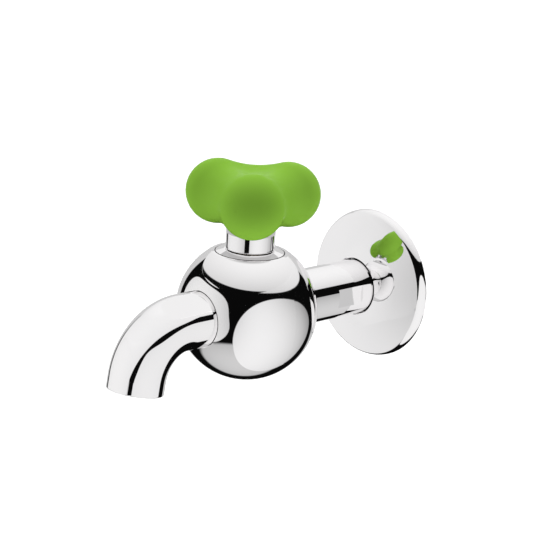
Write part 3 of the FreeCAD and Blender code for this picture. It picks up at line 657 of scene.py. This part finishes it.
def makeThread(look):
    # one ridge, wound round the tail from its open end to its shoulder
    mesh = bmesh.new()
    pitch = look["threadPitch"]
    start = look["tailEnd"] - look["lead"] - pitch / 2
    turns = (start - look["tailFront"] - pitch / 2) / pitch
    steps = round(turns * look["threadSteps"])
    flank = [(look["threadRoot"] - look["threadSunk"], look["threadFlank"]),
             (look["threadCrest"] - look["threadRounding"], look["threadShoulder"]),
             (look["threadCrest"], look["threadCrestHalf"])]
    ridge = [(radius, -half) for radius, half in flank] + flank[::-1]
    points = [mesh.verts.new((radius, start + pitch * along, 0.0)) for radius, along in ridge]
    section = mesh.faces.new(points)
    bmesh.ops.spin(mesh, geom=[section, *section.edges, *points], cent=(0, 0, 0), axis=(0, 1, 0),
                   dvec=(0, -pitch * turns / steps, 0), angle=math.tau * turns, steps=steps)
    bmesh.ops.holes_fill(mesh, edges=mesh.edges, sides=0)
    bmesh.ops.recalc_face_normals(mesh, faces=mesh.faces)
    thread = makePiece("inletThread", mesh)
    thread.data.shade_smooth()
    thread.data.set_sharp_from_angle(angle=math.radians(look["threadAngle"]))
    return thread


inletTube = makeInletTube(inletLook)
inletThread = makeThread(inletLook)
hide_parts("inlet_tube")
for piece in (inletTube, inletThread):
    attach(piece, "tap_body")
    piece.data.materials.append(chrome)
print("inlet tube and its thread are made")


# ---- far screens: white paper far off, lit only where the panels that it comes over are darker ----
fourPanels = [*sharedPanels, lightPanels["table"]]
farScreens = [
    {"name": "tableScreen", "reach": 66.0, "notIn": ("wall_flange",),
     "over": sharedPanels, "patches": [lightPanels["table"]]},
    {"name": "rightScreen", "reach": 64.0,
     "notIn": ("spout_tube", "wall_flange", "handle_hub", "inletTubeTurned"),
     "over": fourPanels, "patches": [lightPanels["right"]]},
    {"name": "flangeScreen", "reach": 60.0, "onlyIn": ("wall_flange",), "over": sharedPanels, "patches": [
        {"azimuth": -139.0, "elevation": -16.5, "turn": 0.0, "halfWidth": 62.5, "halfHeight": 65.5,
         "roundness": 2.0, "edge": 0.04, "shade": (0.85, -0.12, 0.02, -0.12, 0.0, -0.05)},
        {"azimuth": -1.5, "elevation": -35.0, "turn": 0.0, "halfWidth": 48.5, "halfHeight": 52.5,
         "roundness": 2.0, "edge": 0.03, "shade": (0.95, 0.0, 0.0, -0.05, 0.0, -0.05)}]},
    {"name": "tubeScreen", "reach": 57.0, "onlyIn": ("inletTubeTurned",), "over": fourPanels, "patches": [
        {**lightPanels["right"], "elevation": -39.0, "halfHeight": 52.5}]},
    {"name": "neckScreen", "reach": 58.0, "onlyIn": ("handle_hub",), "over": fourPanels, "patches": [
        {**lightPanels["right"], "azimuth": 11.0, "elevation": -25.0, "turn": -10.0, "halfWidth": 54.5,
         "roundness": 3.0}]},
    {"name": "spoutScreen", "reach": 62.0, "onlyIn": ("spout_tube",), "over": fourPanels, "patches": [
        {"azimuth": -120.1, "elevation": 43.4, "turn": -12.2, "halfWidth": 59.2, "halfHeight": 113.3,
         "roundness": 4.3, "edge": 0.04, "shade": (0.93, 0.0, 0.0, -0.07, 0.0, -0.05)},
        {"azimuth": 0.0, "elevation": -31.6, "turn": -20.9, "halfWidth": 56.5, "halfHeight": 47.5,
         "roundness": 4.2, "edge": 0.04, "shade": (0.90, 0.0, 0.0, -0.05, 0.0, -0.05)}]},
]


def makeFarScreen(look):
    mesh = bmesh.new()
    bmesh.ops.create_icosphere(mesh, subdivisions=3, radius=look["reach"])
    screen = makePiece(look["name"], mesh)

    def strengthOf(tree, place):
        outward = addNode(tree, "ShaderNodeVectorMath", {"operation": "NORMALIZE"}, {0: place}).outputs[0]
        wanted = brightest(tree, outward, look["patches"])
        return mathNode(tree, "SUBTRACT", wanted, brightest(tree, outward, look["over"]), clamp=True)

    screen.data.materials.append(glowMaterial(look["name"], strengthOf))
    offCamera(screen)
    if "onlyIn" in look:
        mirrorOnlyIn(screen, look["onlyIn"])
    else:
        for mirror in mirrorOnlyIn(screen, look["notIn"]).collection_objects:
            mirror.light_linking.link_state = "EXCLUDE"


for look in farScreens:
    makeFarScreen(look)
print("far screens are in place")


# ---- floor ----
floorLook = {
    "height": -0.25,
    "half": 8.0,
    "white": 0.80,
    "rough": 0.9,
    "lift": 0.35,  # glow that only the camera sees, so the floor meets the white behind it
}


def makeFloor(look):
    bpy.ops.mesh.primitive_plane_add(size=2 * look["half"], location=(0, 0, look["height"]))
    floor = bpy.context.object
    floor.name = "studioFloor"
    material, tree, shader, place = newMaterial("paleFloor")
    shader.inputs["Base Color"].default_value = (look["white"],) * 3 + (1,)
    shader.inputs["Roughness"].default_value = look["rough"]
    shader.inputs["Specular IOR Level"].default_value = 0.0
    shader.inputs["Emission Color"].default_value = (1, 1, 1, 1)
    rays = addNode(tree, "ShaderNodeLightPath")
    lift = mathNode(tree, "MULTIPLY", rays.outputs["Is Camera Ray"], look["lift"])
    tree.links.new(lift, shader.inputs["Emission Strength"])
    floor.data.materials.append(material)
    floor.visible_glossy = False
    floor.visible_diffuse = False


makeFloor(floorLook)
print("floor is in place")
